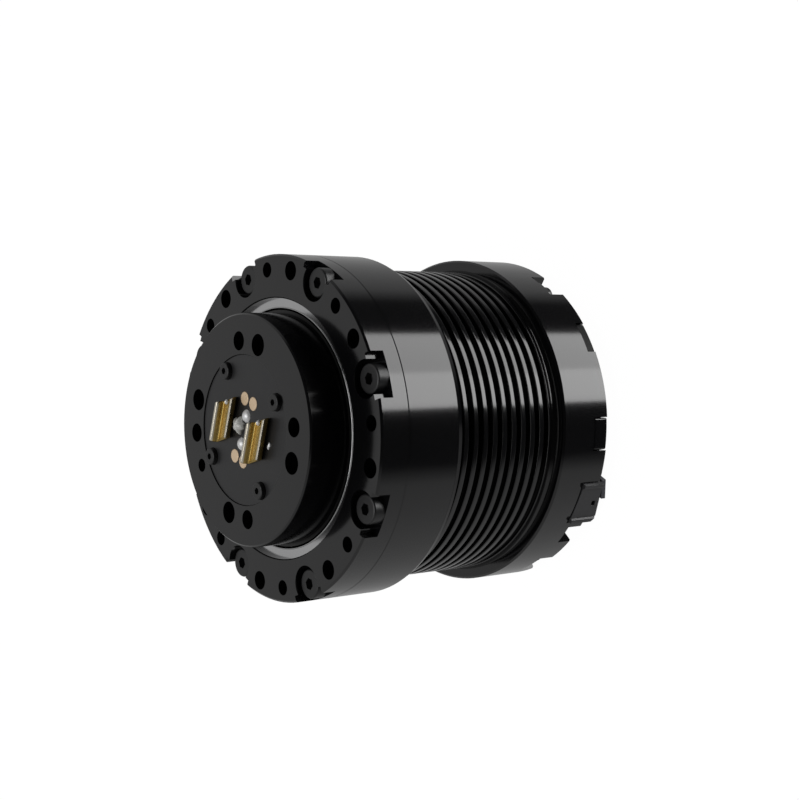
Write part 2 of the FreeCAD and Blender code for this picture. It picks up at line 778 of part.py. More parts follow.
def make_front_cover():
    """The front cover, its screws and the seal ring under it."""
    body = spin([(output_bearing_radius, seam_z), (outer_radius - seam_chamfer, seam_z),
                 (outer_radius, seam_z + seam_chamfer), (outer_radius, face_z - edge_chamfer),
                 (outer_radius - edge_chamfer, face_z), (front_bore + lip_chamfer, face_z),
                 (front_bore, face_z - lip_chamfer), (front_bore, bearing_top),
                 (output_bearing_radius, bearing_top)])
    pockets = around(lambda a: screw_pocket(pocket_seat_z, face_z + 1, pocket_seat_radius,
                                            rim_hole_circle, pocket_notch_inner,
                                            pocket_notch_width, a), front_screw_count)
    holes = around(lambda a: cylinder(front_screw_hole, 0, output_z, (rim_hole_circle, a)),
                   front_screw_count)
    save("front_cover", less(body, pockets, holes, mount_holes(0, output_z)))
    save("front_cover_screws", around(
        lambda a: cap_screw(pocket_seat_z, front_screw_length, front_screw_radius, front_head_radius,
                            front_head_height, (rim_hole_circle, a)), front_screw_count))


def make_gear_housing():
    """The smooth case ring round the gears, screwed to the barrel from in front."""
    body = spin([(ring_gear_radius, mid_plate_top), (spigot_radius, mid_plate_top),
                 (spigot_radius, barrel_top), (outer_radius - housing_rear_round, barrel_top),
                 (outer_radius - 0.3 * housing_rear_round, barrel_top + 0.3 * housing_rear_round),
                 (outer_radius, barrel_top + housing_rear_round),
                 (outer_radius, seam_z - seam_chamfer), (outer_radius - seam_chamfer, seam_z),
                 (output_bearing_radius, seam_z), (output_bearing_radius, bearing_z),
                 (ring_gear_radius, bearing_z)])
    holes = around(lambda a: cylinder(front_screw_radius, pocket_seat_z - front_screw_length - 1,
                                      output_z, (rim_hole_circle, a)), front_screw_count)
    keys = around(lambda a: cylinder(key_radius, carrier1_z, output_z, (ring_gear_radius, a)),
                  key_count, key_start)
    seat_z = barrel_top + barrel_screw_floor
    sinks = around(lambda a: cylinder(barrel_head_radius + head_gap, seat_z, output_z,
                                      (barrel_screw_circle, a)), barrel_screw_count, barrel_screw_start)
    shanks = around(lambda a: cylinder(barrel_screw_radius + seat_gap, 0, output_z,
                                       (barrel_screw_circle, a)), barrel_screw_count, barrel_screw_start)
    save("gear_housing", less(body, holes, keys, sinks, shanks,
                              mount_holes(face_z - mount_hole_depth, output_z)))
    save("barrel_screws", around(
        lambda a: cap_screw(seat_z, barrel_screw_length, barrel_screw_radius, barrel_head_radius,
                            barrel_head_height, (barrel_screw_circle, a)),
        barrel_screw_count, barrel_screw_start))


def make_motor_housing():
    """The barrel with its cooling ribs and the wide rear flange, in one piece."""
    groove_floor = rib_radius - groove_depth
    profile = [(barrel_bore, shoulder_z), (cavity_radius, shoulder_z), (cavity_radius, rim_z),
               (outer_radius - edge_chamfer, rim_z), (outer_radius, rim_z + edge_chamfer),
               (outer_radius, flange_front_z - edge_chamfer),
               (outer_radius - edge_chamfer, flange_front_z), (rib_radius, flange_front_z)]
    for i in reversed(range(groove_count)):
        middle = groove_first_z - i * groove_pitch
        profile += [(rib_radius, middle - groove_width / 2), (groove_floor, middle - groove_width / 2),
                    (groove_floor, middle + groove_width / 2), (rib_radius, middle + groove_width / 2)]
    profile += [(rib_radius, barrel_top), (spigot_radius + seat_gap, barrel_top),
                (spigot_radius + seat_gap, mid_plate_z), (barrel_bore, mid_plate_z)]
    body = spin(profile)
    rib_edges = [e for e in body.Edges if e.Curve.TypeId == "Part::GeomCircle"
                 and abs(e.Curve.Radius - rib_radius) < slip
                 and flange_front_z + slip < e.CenterOfMass.z < barrel_top - slip]
    body = body.makeFillet(rib_rounding, rib_edges)

    pockets = around(lambda a: screw_pocket(rear_seat_z, rim_z - 1, rear_pocket_radius,
                                            rear_screw_circle, rear_screw_circle + rear_notch_step,
                                            rear_notch_width, a), rear_screw_count, rear_screw_angle)
    openings = around(lambda a: block(cavity_radius - 2, rear_screw_circle, 2 * rear_pocket_radius,
                                      rim_z - 1, rear_seat_z, a), rear_screw_count, rear_screw_angle)
    holes = around(lambda a: cylinder(rear_screw_radius, 0, rear_seat_z + rear_screw_length,
                                      (rear_screw_circle, a)), rear_screw_count, rear_screw_angle)
    window = block(connector_inner, outer_radius + 2, connector_width + 2 * window_gap, rim_z - 1,
                   rim_z + window_height, connector_angle)
    notches = [block(cavity_radius - 1, outer_radius + 2, width, rim_z - 1, rim_z + depth, angle)
               for width, depth, angle in rear_notches]
    threads = around(lambda a: cylinder(barrel_screw_radius, barrel_top - barrel_thread_depth, output_z,
                                        (barrel_screw_circle, a)), barrel_screw_count, barrel_screw_start)
    groove_low = rear_plate_z - clip_thickness - clip_play
    groove = ring(cavity_radius - 1, cavity_radius + clip_groove_depth, groove_low, rear_plate_z)
    save("motor_housing", less(body, pockets, openings, holes, window, notches, threads, groove))


def make_plates():
    """The two plates that carry the rotor bearings, and the clip that holds the rear one."""
    hub = rotor_bearing_radius + plate_hub_wall
    mid = spin([(rotor_bearing_radius, mid_bearing_z), (hub, mid_bearing_z), (hub, mid_plate_z),
                (spigot_radius, mid_plate_z), (spigot_radius, mid_plate_top - seat_gap),
                (rotor_bearing_radius - rotor_bearing_lip, mid_plate_top - seat_gap),
                (rotor_bearing_radius - rotor_bearing_lip, mid_plate_top - mid_bearing_drop),
                (rotor_bearing_radius, mid_plate_top - mid_bearing_drop)])
    save("mid_plate", mid)

    rim = stator_radius + rear_plate_rim
    inner = rotor_bearing_radius - rear_bearing_lip
    rear = spin([(inner, rear_plate_z), (cavity_radius - seat_gap, rear_plate_z),
                 (cavity_radius - seat_gap, shoulder_z), (rim, shoulder_z), (rim, rear_plate_top),
                 (hub, rear_plate_top), (hub, rear_bearing_z + rotor_bearing_width),
                 (rotor_bearing_radius, rear_bearing_z + rotor_bearing_width),
                 (rotor_bearing_radius, rear_bearing_z), (inner, rear_bearing_z)])
    wires = around(lambda a: cylinder(wire_hole_radius, 0, output_z, (stator_bore + wire_hole_step, a)),
                   3, wire_hole_start)
    threads = around(lambda a: cylinder(driver_screw_radius, 0, output_z, (driver_screw_circle, a)),
                     driver_screw_count, driver_screw_start)
    save("rear_bearing_plate", less(rear, wires, threads))

    clip = ring(cavity_radius + clip_groove_depth - clip_width, cavity_radius + clip_groove_depth,
                rear_plate_z - clip_thickness, rear_plate_z)
    gap_width = connector_width + 2 * clip_side_gap
    lug_circle = cavity_radius - clip_lug_inset
    lug_turn = math.degrees(math.asin((gap_width / 2 + clip_lug_radius) / lug_circle))
    lug_angles = (connector_angle - lug_turn, connector_angle + lug_turn)
    lugs = [cylinder(clip_lug_radius, rear_plate_z - clip_thickness, rear_plate_z, (lug_circle, a))
            for a in lug_angles]
    gap = block(cavity_radius - 2 * clip_width, outer_radius, gap_width, driver_z, rear_plate_top,
                connector_angle)
    eyes = [cylinder(clip_eye_radius, 0, output_z, (lug_circle, a)) for a in lug_angles]
    save("retaining_ring", less(joined([clip] + lugs), gap, eyes))


# ---- rear electronics
def make_electronics():
    """Driver board with its parts, and the connector in the rim window."""
    notch = block(connector_inner, outer_radius, connector_width + 2 * window_gap, 0, output_z,
                  connector_angle)
    hole_radius = driver_screw_radius + screw_clearance
    holes = around(lambda a: cylinder(hole_radius, 0, output_z, (driver_screw_circle, a)),
                   driver_screw_count, driver_screw_start)
    save("driver_board", less(cylinder(driver_board_radius, driver_z, driver_top), notch, holes,
                              cylinder(tube_radius + driver_hole_gap, 0, output_z)))
    save("board_standoffs", around(
        lambda a: less(cylinder(standoff_radius, driver_top, rear_plate_z, (driver_screw_circle, a)),
                       cylinder(hole_radius, 0, output_z, (driver_screw_circle, a))),
        driver_screw_count, driver_screw_start))
    reach = rear_plate_top - driver_z - driver_screw_spare
    save("driver_board_screws", around(
        lambda a: cap_screw(driver_z, reach, driver_screw_radius, driver_head_radius,
                            driver_head_height, (driver_screw_circle, a), -1),
        driver_screw_count, driver_screw_start))
    capacitor_circle = driver_board_radius - capacitor_edge
    save("board_capacitors", [cylinder(capacitor_radius, driver_z - capacitor_height, driver_z,
                                       (capacitor_circle, a)) for a in capacitor_angles])
    save("power_transistors", around(
        lambda a: block(transistor_inner, transistor_inner + transistor_length, transistor_width,
                        driver_z - transistor_height, driver_z, a), transistor_count, transistor_start))
    save("control_chip", block(chip_inner, chip_inner + chip_size, chip_size,
                               driver_z - chip_height, driver_z, chip_angle))
    save("encoder_sensor", block(sensor_inner, sensor_inner + sensor_length, sensor_width,
                                 driver_top, driver_top + sensor_height, sensor_angle))

    low = rim_z - connector_drop
    high = low + connector_height
    body = block(connector_inner, connector_outer, connector_width, low, high, connector_angle)
    latch = block(connector_outer - latch_length, connector_outer + latch_stand_out, latch_width,
                  low - latch_height, low, connector_angle, (connector_width - latch_width) / 2)
    socket = block(connector_outer - socket_depth, connector_outer + 1, socket_width,
                   low + socket_floor, low + socket_floor + socket_height, connector_angle)
    pitch = socket_width / contact_count
    places = [(i - (contact_count - 1) / 2) * pitch for i in range(contact_count)]
    bars = [block(connector_inner - contact_reach, connector_outer - contact_inset, contact_width,
                  driver_z - contact_thickness, driver_z, connector_angle, place) for place in places]
    save("io_connector", less(joined([body, latch]), socket, bars))
    save("io_contacts", bars)


def make_rear_cover():
    """The rear cover: a disc inside the rim with a flat raised cap, and ears under its screws."""
    disc_z = rim_z + cover_disc_sink
    disc_top = disc_z + cover_disc_thickness
    disc_radius = cavity_radius - cover_disc_gap
    body = spin([(0, 0), (cap_radius - cap_chamfer, 0), (cap_radius, cap_chamfer), (cap_radius, disc_z),
                 (disc_radius, disc_z), (disc_radius, disc_top), (cap_radius - cap_wall, disc_top),
                 (cap_radius - cap_wall, cap_wall), (0, cap_wall)])
    ear_low = rear_seat_z - ear_thickness
    limit = cylinder(outer_radius - ear_inset, 0, output_z)

    def ear(angle):
        pad = cylinder(rear_pocket_radius - ear_gap, disc_z, rear_seat_z, (rear_screw_circle, angle))
        strap = block(driver_board_radius + strap_gap, rear_screw_circle,
                      2 * (rear_pocket_radius - ear_gap), disc_z, rear_seat_z, angle)
        shape = pad.fuse(strap).common(limit)
        head_room = cylinder(rear_head_radius + strap_gap, disc_z - 1, ear_low,
                             (rear_screw_circle, angle))
        way_out = block(rear_screw_circle, outer_radius + 1, rear_notch_width, disc_z - 1, ear_low, angle)
        return shape.cut(head_room.fuse(way_out))

    ears = around(ear, rear_screw_count, rear_screw_angle)
    holes = around(lambda a: cylinder(rear_screw_hole, 0, output_z, (rear_screw_circle, a)),
                   rear_screw_count, rear_screw_angle)
    notch = block(connector_inner - window_gap, outer_radius + 2, connector_width + 2 * window_gap,
                  disc_z - 1, output_z, connector_angle)
    room = around(lambda a: cylinder(driver_head_radius + strap_gap, cap_wall, output_z,
                                     (driver_screw_circle, a)), driver_screw_count, driver_screw_start)
    cover = joined([body] + ears)
    cover = less(cover, holes, notch, room)
    save("rear_cover", cover)
    save("rear_cover_screws", around(
        lambda a: cap_screw(ear_low, rear_screw_length, rear_screw_radius, rear_head_radius,
                            rear_head_height, (rear_screw_circle, a), -1),
        rear_screw_count, rear_screw_angle))


os.makedirs("parts", exist_ok=True)
make_gears()
make_carriers()
make_output_flange()
make_terminal_board()
make_wire_passage()
make_output_bearing()
make_rotor()
make_stator()
make_rotor_bearings()
make_front_cover()
make_gear_housing()
make_motor_housing()
make_plates()
make_electronics()
make_rear_cover()
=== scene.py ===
"""Robot joint actuator: finishes, fine pieces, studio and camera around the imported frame.

Lengths are in metres, and +Z is the output axis. The frame stands on the cap of its rear cover.
"""
import json
import math

import bpy
import numpy as np
from mathutils import Matrix, Vector


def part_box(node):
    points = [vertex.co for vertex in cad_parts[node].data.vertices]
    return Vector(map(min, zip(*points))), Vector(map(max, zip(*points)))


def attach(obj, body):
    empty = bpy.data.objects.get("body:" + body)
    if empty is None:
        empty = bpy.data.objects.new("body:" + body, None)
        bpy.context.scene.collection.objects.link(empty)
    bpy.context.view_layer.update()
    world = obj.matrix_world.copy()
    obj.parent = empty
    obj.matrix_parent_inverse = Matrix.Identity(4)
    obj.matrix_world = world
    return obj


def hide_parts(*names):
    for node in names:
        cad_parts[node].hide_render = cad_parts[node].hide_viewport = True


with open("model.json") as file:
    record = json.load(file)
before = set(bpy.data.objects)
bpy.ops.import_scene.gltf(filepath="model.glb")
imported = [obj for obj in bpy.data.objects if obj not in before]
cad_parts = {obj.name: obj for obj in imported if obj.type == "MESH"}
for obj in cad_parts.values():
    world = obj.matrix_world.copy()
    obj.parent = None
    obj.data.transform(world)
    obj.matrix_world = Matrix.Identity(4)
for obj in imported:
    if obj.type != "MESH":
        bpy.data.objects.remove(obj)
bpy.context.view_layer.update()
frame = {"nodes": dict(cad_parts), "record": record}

MM = 0.001
UP = Vector((0, 0, 1))


# ---- finishes
patch_scale = 90.0             # features per metre, of the soft patches in a colour
lathe_scale = 9000.0           # and of the rings that a lathe leaves
relief_depth = 0.05 * MM
highlight_fade = 0.3 * MM           # the painted highlight colour fades in over this height
dull_edge = 0.1 * MM           # a duller band fades in and out over this width
full_shine = 0.5
dull_shine = 0.06


def new_material(name):
    """An empty node material with a Principled shader and its links ready."""
    material = bpy.data.materials.new(name)
    material.use_nodes = True
    tree = material.node_tree
    tree.nodes.clear()
    shader = tree.nodes.new("ShaderNodeBsdfPrincipled")
    output = tree.nodes.new("ShaderNodeOutputMaterial")
    tree.links.new(shader.outputs["BSDF"], output.inputs["Surface"])
    return material, tree, shader


def math_node(tree, operation, first, second):
    """A Math node; each of its two inputs is a socket or a number."""
    node = tree.nodes.new("ShaderNodeMath")
    node.operation = operation
    for socket, value in zip(node.inputs, (first, second)):
        if isinstance(value, (int, float)):
            socket.default_value = value
        else:
            tree.links.new(value, socket)
    return node.outputs[0]


def grain(tree, vector, scale, detail=3.0):
    """Soft noise between 0 and 1; scale is in features per metre."""
    noise = tree.nodes.new("ShaderNodeTexNoise")
    noise.inputs["Scale"].default_value = scale
    noise.inputs["Detail"].default_value = detail
    tree.links.new(vector, noise.inputs["Vector"])
    return noise.outputs["Fac"]


def between(tree, factor, low, high):
    """Maps 0..1 onto low..high."""
    node = tree.nodes.new("ShaderNodeMapRange")
    node.inputs["To Min"].default_value = low
    node.inputs["To Max"].default_value = high
    tree.links.new(factor, node.inputs["Value"])
    return node.outputs["Result"]


def blend_colour(tree, factor, low, high):
    """Maps 0..1 onto two colours."""
    ramp = tree.nodes.new("ShaderNodeValToRGB")
    ramp.color_ramp.elements[0].color = (*low, 1)
    ramp.color_ramp.elements[1].color = (*high, 1)
    tree.links.new(factor, ramp.inputs["Fac"])
    return ramp.outputs["Color"]


def lathe_vector(tree, position):
    """Coordinates (distance from the axis, height, 0): a pattern on them runs round the axis."""
    parts = tree.nodes.new("ShaderNodeSeparateXYZ")
    tree.links.new(position, parts.inputs[0])
    x2 = math_node(tree, "POWER", parts.outputs["X"], 2.0)
    y2 = math_node(tree, "POWER", parts.outputs["Y"], 2.0)
    radius = math_node(tree, "SQRT", math_node(tree, "ADD", x2, y2), 0.5)
    joined = tree.nodes.new("ShaderNodeCombineXYZ")
    tree.links.new(radius, joined.inputs["X"])
    tree.links.new(parts.outputs["Z"], joined.inputs["Y"])
    return joined.outputs[0]


def above(tree, value, low, high):
    """0 below low, 1 above high, and a smooth step between them."""
    node = tree.nodes.new("ShaderNodeMapRange")
    node.interpolation_type = "SMOOTHSTEP"
    node.inputs["From Min"].default_value = low
    node.inputs["From Max"].default_value = high
    tree.links.new(value, node.inputs["Value"])
    return node.outputs["Result"]


def finish(name, colour, tint, rough, metallic=0.0, ior=1.5, turned=0.0, grain_scale=2500.0,
           bump=0.06, edge=None, dull=None):
    """A metal, plastic or lacquer finish: colour and roughness vary softly with grain, and
    turned adds the fine rings that a lathe leaves. edge is (height, colour), a painted highlight: a
    pale colour laid on from that height up, for top edges lit by the lamps. dull is ("X", low, high)
    for distances from the axis or ("Y", low, high) for heights between which the skin shines less."""
    material, tree, shader = new_material(name)
    position = tree.nodes.new("ShaderNodeTexCoord").outputs["Object"]
    fine = grain(tree, position, grain_scale)
    broad = grain(tree, position, patch_scale, 2.0)
    skin = blend_colour(tree, broad, colour, tint)
    # Painted highlight: from the edge height up the colour turns pale, as if the top edges caught the
    # light.
    if edge:
        parts = tree.nodes.new("ShaderNodeSeparateXYZ")
        tree.links.new(position, parts.inputs[0])
        painted_top_highlight = tree.nodes.new("ShaderNodeMix")
        painted_top_highlight.data_type = "RGBA"
        share = above(tree, parts.outputs["Z"], edge[0] - highlight_fade, edge[0])
        tree.links.new(share, painted_top_highlight.inputs["Factor"])
        tree.links.new(skin, painted_top_highlight.inputs["A"])
        painted_top_highlight.inputs["B"].default_value = (*edge[1], 1)
        skin = painted_top_highlight.outputs["Result"]
    tree.links.new(skin, shader.inputs["Base Color"])
    surface = fine
    if turned:
        rings = grain(tree, lathe_vector(tree, position), lathe_scale, 1.0)
        mixed = tree.nodes.new("ShaderNodeMix")
        mixed.inputs["Factor"].default_value = turned
        tree.links.new(fine, mixed.inputs["A"])
        tree.links.new(rings, mixed.inputs["B"])
        surface = mixed.outputs["Result"]
    tree.links.new(between(tree, surface, rough[0], rough[1]), shader.inputs["Roughness"])
    if dull:
        parts = tree.nodes.new("ShaderNodeSeparateXYZ")
        tree.links.new(lathe_vector(tree, position), parts.inputs[0])
        axis, start, end = dull
        place = parts.outputs[axis]
        entered = above(tree, place, start - dull_edge, start)
        left = above(tree, place, end, end + dull_edge)
        inside = math_node(tree, "SUBTRACT", entered, left)
        shine = between(tree, inside, full_shine, dull_shine)
        tree.links.new(shine, shader.inputs["Specular IOR Level"])
    relief = tree.nodes.new("ShaderNodeBump")
    relief.inputs["Strength"].default_value = bump
    relief.inputs["Distance"].default_value = relief_depth
    tree.links.new(surface, relief.inputs["Height"])
    tree.links.new(relief.outputs["Normal"], shader.inputs["Normal"])
    shader.inputs["Metallic"].default_value = metallic
    shader.inputs["IOR"].default_value = ior
    return material


finishes = {
    "case_black": finish("case_black", (0.0025, 0.0025, 0.003), (0.0045, 0.0045, 0.005), (0.09, 0.15),
                         ior=1.62, turned=0.5, bump=0.03, dull=("Y", 39.1 * MM, 40.7 * MM)),
    "flange_black": finish("flange_black", (0.0025, 0.0025, 0.003), (0.0045, 0.0045, 0.005), (0.12, 0.2),
                           ior=1.6, turned=0.5, bump=0.03, dull=("X", 21.2 * MM, 32 * MM)),
    "screw_black": finish("screw_black", (0.005, 0.005, 0.0055), (0.009, 0.009, 0.0095), (0.34, 0.46),
                          ior=1.55, bump=0.1),
    "bearing_steel": finish("bearing_steel", (0.60, 0.60, 0.61), (0.68, 0.68, 0.68), (0.12, 0.24),
                            metallic=1.0, turned=0.8),
    "gear_steel": finish("gear_steel", (0.40, 0.40, 0.41), (0.48, 0.48, 0.48), (0.25, 0.38),
                         metallic=1.0),
    "plain_aluminium": finish("plain_aluminium", (0.70, 0.70, 0.71), (0.78, 0.78, 0.79), (0.24, 0.38),
                              metallic=1.0, turned=0.7),
    "stator_iron": finish("stator_iron", (0.22, 0.22, 0.24), (0.30, 0.30, 0.32), (0.35, 0.5),
                          metallic=1.0),
    "copper_wire": finish("copper_wire", (0.55, 0.20, 0.08), (0.66, 0.29, 0.13), (0.2, 0.34),
                          metallic=1.0),
    "magnet_nickel": finish("magnet_nickel", (0.56, 0.55, 0.52), (0.64, 0.63, 0.60), (0.12, 0.22),
                            metallic=1.0),
    "board_black": finish("board_black", (0.012, 0.012, 0.013), (0.018, 0.018, 0.019), (0.32, 0.45),
                          bump=0.1),
    "board_green": finish("board_green", (0.010, 0.085, 0.04), (0.016, 0.115, 0.055), (0.3, 0.42),
                          bump=0.1),
    # The pale colour from 66.15 mm up on the terminals' top edges is a painted highlight.
    "gold_plate": finish("gold_plate", (0.26, 0.17, 0.04), (0.52, 0.37, 0.12), (0.22, 0.3),
                         metallic=1.0, grain_scale=400.0, bump=0.02, edge=(66.15 * MM, (0.85, 0.79, 0.66))),
    "pad_tan": finish("pad_tan", (0.80, 0.58, 0.37), (0.90, 0.70, 0.48), (0.35, 0.5), metallic=0.2),
    "solder": finish("solder", (0.82, 0.82, 0.83), (0.90, 0.90, 0.90), (0.3, 0.45), metallic=0.4,
                     grain_scale=1200.0, bump=0.15),
    "tube_steel": finish("tube_steel", (0.5, 0.5, 0.5), (0.58, 0.58, 0.58), (0.2, 0.32), metallic=1.0),
    "lead_insulation": finish("lead_insulation", (0.45, 0.03, 0.025), (0.55, 0.05, 0.035), (0.4, 0.5)),
    "connector_plastic": finish("connector_plastic", (0.022, 0.022, 0.024), (0.032, 0.032, 0.034),
                                (0.3, 0.45), bump=0.15),
    "chip_plastic": finish("chip_plastic", (0.02, 0.02, 0.02), (0.03, 0.03, 0.03), (0.4, 0.55)),
}

# Near-black, dull coat for the steel inner ring of the output bearing: painted shade, not the ring's own
# colour.
painted_shade_race = finish("painted_shade_race", (0.004, 0.004, 0.004), (0.006, 0.006, 0.006), (0.35, 0.45),
                     turned=0.6)
dull_solder = finish("dull_solder", (0.58, 0.58, 0.56), (0.74, 0.74, 0.70), (0.4, 0.6), metallic=0.25,
                     grain_scale=1500.0, bump=0.5)
# Near-black and barely reflecting: painted shade for the dark notch at -78 degrees in the rear rim.
painted_shade_black = finish("painted_shade_black", (0.002, 0.002, 0.002), (0.004, 0.004, 0.004), (0.4, 0.5), ior=1.25)
latch_grey = finish("latch_grey", (0.05, 0.05, 0.058), (0.065, 0.065, 0.075), (0.35, 0.5), bump=0.15)

slot_of_node = {part["node"]: part["material_slot"] for part in frame["record"]["subparts"]}
for node, piece in frame["nodes"].items():
    # The bearing's inner ring gets the near-black painted shade instead of its steel finish.
    coat = painted_shade_race if node == "output_bearing_inner_ring" else finishes[slot_of_node[node]]
    for slot in piece.material_slots:
        slot.material = coat


# ---- surfaces of the added pieces
def faces_between(rows, columns, wrap_rows=False, wrap_columns=False):
    """The four-sided faces of a grid of rows x columns points, each a row of four indices."""
    index = np.arange(rows * columns).reshape(rows, columns)
    if wrap_rows:
        index = np.concatenate((index, index[:1]))
    if wrap_columns:
        index = np.concatenate((index, index[:, :1]), axis=1)
    corners = (index[:-1, :-1], index[:-1, 1:], index[1:, 1:], index[1:, :-1])
    return np.stack(corners, axis=-1).reshape(-1, 4)


def add_piece(name, points, faces, body, slot, bevel=0.0, coat=None):
    """Makes a smooth object of points and faces that rides on a body, with its rounded edges."""
    mesh = bpy.data.meshes.new(name)
    mesh.from_pydata(points.reshape(-1, 3).tolist(), [], faces)
    mesh.validate()
    mesh.shade_smooth()
    mesh.materials.append(coat or finishes[slot])
    piece = bpy.data.objects.new(name, mesh)
    bpy.context.scene.collection.objects.link(piece)
    if bevel:
        rounded = piece.modifiers.new("rounded", "BEVEL")
        rounded.width = bevel
        rounded.segments = 3
        rounded.limit_method = "ANGLE"
        rounded.angle_limit = math.radians(35)
    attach(piece, body)
    return piece


def slab(name, front, back, body, slot, bevel, coat=None):
    """A closed block between two equal grids of points: front faces outward, and back behind it.
    Its surface is P(i, j, side) with side 0 on front and 1 on back, joined round the four edges."""
    rows, columns = front.shape[:2]
    index = np.arange(rows * columns).reshape(rows, columns)
    count = rows * columns
    edge = np.concatenate((index[0], index[1:, -1], index[-1, -2::-1], index[-2:0:-1, 0]))
    after = np.roll(edge, -1)
    face = faces_between(rows, columns)
    sides = np.stack((edge, edge + count, after + count, after), axis=-1)
    faces = np.concatenate((face, face[:, ::-1] + count, sides))
    points = np.stack((front, back))
    return add_piece(name, points, faces.tolist(), body, slot, bevel, coat)


def turned_to(points, angle):
    """Points given as (outward, sideways, height), turned about the axis to face an angle."""
    turn = math.radians(angle)
    x = points[..., 0] * math.cos(turn) - points[..., 1] * math.sin(turn)
    y = points[..., 0] * math.sin(turn) + points[..., 1] * math.cos(turn)
    return np.stack((x, y, points[..., 2]), axis=-1)


drop_rings = 14                # rings and points of a drop's grid
drop_points = 48
drop_centre = 0.06             # its first ring lies at this share of the radius


def mound(name, along, across, base, radius, height, slot, lobes=0, swell=0.0, fullness=1.0, coat=None):
    """A drop of solder or a domed pad on a face: at a share s of its radius and a turn t it stands
    height * (1 - s^(2 fullness))^0.6, and its edge lies at radius * (1 + swell cos(lobes t))."""
    share = np.linspace(drop_centre, 1.0, drop_rings)[:, None]
    turn = np.linspace(0, 2 * math.pi, drop_points, endpoint=False)[None, :]
    wave = np.cos(lobes * turn + 0.7) + 0.4 * np.cos((lobes + 2) * turn)
    out = radius * share * (1 + swell * wave * share)
    rise = height * (1 - share ** (2 * fullness)) ** 0.6 * (1 + 0.8 * swell * wave * share)
    rise = base + np.where(share < 1, rise, 0)
    top = np.stack((along + out * np.cos(turn), across + out * np.sin(turn), rise + 0 * turn), axis=-1)
    ends = np.array([[along, across, base + height], [along, across, base]])
    points = turned_to(np.concatenate((top.reshape(-1, 3), ends)), terminal_axis)
    rows, columns = top.shape[:2]
    tip, foot = rows * columns, rows * columns + 1
    around = np.arange(columns)
    after = np.roll(around, -1)
    last = (rows - 1) * columns
    faces = faces_between(rows, columns, wrap_columns=True)[:, ::-1].tolist()
    faces += np.stack((around, after, np.full(columns, tip)), axis=-1).tolist()
    faces += np.stack((after + last, around + last, np.full(columns, foot)), axis=-1).tolist()
    return add_piece(name, points, faces, "output", slot, coat=coat)


def channel(half, corner, floor, top, count=7):
    """One bent section, (across, height): down a wall, round a corner, over the floor, and up."""
    bend = np.linspace(0, math.pi / 2, count)
    wall = np.linspace(top, floor + corner, count)[:-1]
    across = np.concatenate((np.full(len(wall), -half), -half + corner * (1 - np.cos(bend))))
    height = np.concatenate((wall, floor + corner * (1 - np.sin(bend))))
    return np.concatenate((across, -across[::-1])), np.concatenate((height, height[::-1]))


# ---- terminals and solder on the round board
board_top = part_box("terminal_board")[1][2]
terminal_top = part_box("terminals")[1][2]
terminal_axis = -37.5          # degrees, the way the terminals' walls run
terminal_offset = 5.5 * MM
terminal_half = 2.6 * MM
terminal_reach = 4.0 * MM
terminal_sheet = 0.55 * MM
terminal_bend = 0.8 * MM
terminal_slant = -0.48         # their ends are cut this far off square
wall_lean = 0.5 * MM           # the walls lean out by this at the top
wall_trim = 0.35 * MM          # and their top corners are cut back by this
drop_along = 3.3 * MM          # place of the drop of solder in each channel
drop_across = 0.5 * MM
drop_radius = 0.5 * MM
drop_height = 0.6 * MM
pad_circle = 5.75 * MM
pad_spread = 14.5              # degrees, each pad of a pair to its side of the middle
pad_radius = 1.28 * MM
pad_crown = 0.14 * MM


def make_terminals():
    """Two channels bent from plated sheet, cut on a slant, with a drop of solder at one end."""
    run = np.linspace(-1, 1, 13)[:, None]
    height = terminal_top - board_top
    for number, side in enumerate((1, -1), 1):
        skins = []
        for depth in (0.0, terminal_sheet):
            across, rise = channel(terminal_half - depth, terminal_bend - depth, depth, height)
            lean = wall_lean * (rise / height) ** 2 * np.sign(across)
            trim = wall_trim * (rise / height) ** 6
            along = run * (terminal_reach - trim) + terminal_slant * across
            sideways = side * terminal_offset + across + lean - wall_lean * np.sign(across)
            skin = np.stack((along, sideways + 0 * run, board_top + rise + 0 * run), axis=-1)
            skins.append(turned_to(skin, terminal_axis))
        piece = slab(f"terminal_{number}", skins[0], skins[1], "output", "gold_plate", 0.1 * MM)
        if number == 1:
            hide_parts("terminals")
        mound(f"terminal_solder_{number}", drop_along, side * terminal_offset + drop_across,
              board_top + terminal_sheet, drop_radius, drop_height, "solder", 2, 0.1)


def make_solder():
    """The crumpled joint between the terminals, the drop beside them and the tinned pads."""
    mound("shield_joint", 0.45 * MM, 1.45 * MM, board_top, 1.5 * MM, 1.25 * MM, "solder", 5, 0.16,
          coat=dull_solder)
    mound("solder_tail", 0.2 * MM, -8.5 * MM, board_top, 0.5 * MM, 0.3 * MM, "solder", 2, 0.4)
    places = [(turn, spread) for turn in (0, 180) for spread in (-pad_spread, pad_spread)]
    for number, (turn, spread) in enumerate(places, 1):
        angle = math.radians(turn + spread)
        pad = mound(f"pad_{number}", pad_circle * math.cos(angle), pad_circle * math.sin(angle),
                    board_top, pad_radius, pad_crown, "pad_tan", fullness=4.0)
        if number == 1:
            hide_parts("contact_pads")


# ---- rings round the axis
ring_points = 300


def add_ring(name, radius, height, slot):
    """Turns a closed section about the axis: the surface is (radius cos t, radius sin t, height).
    The section runs anticlockwise in (radius, height)."""
    turn = np.linspace(0, 2 * math.pi, ring_points, endpoint=False)[:, None]
    radius, height = radius[None, :], height[None, :]
    points = np.stack((radius * np.cos(turn), radius * np.sin(turn), height + 0 * turn), axis=-1)
    faces = faces_between(ring_points, radius.shape[1], True, True)[:, ::-1]
    return add_piece(name, points, faces.tolist(), "housing", slot)


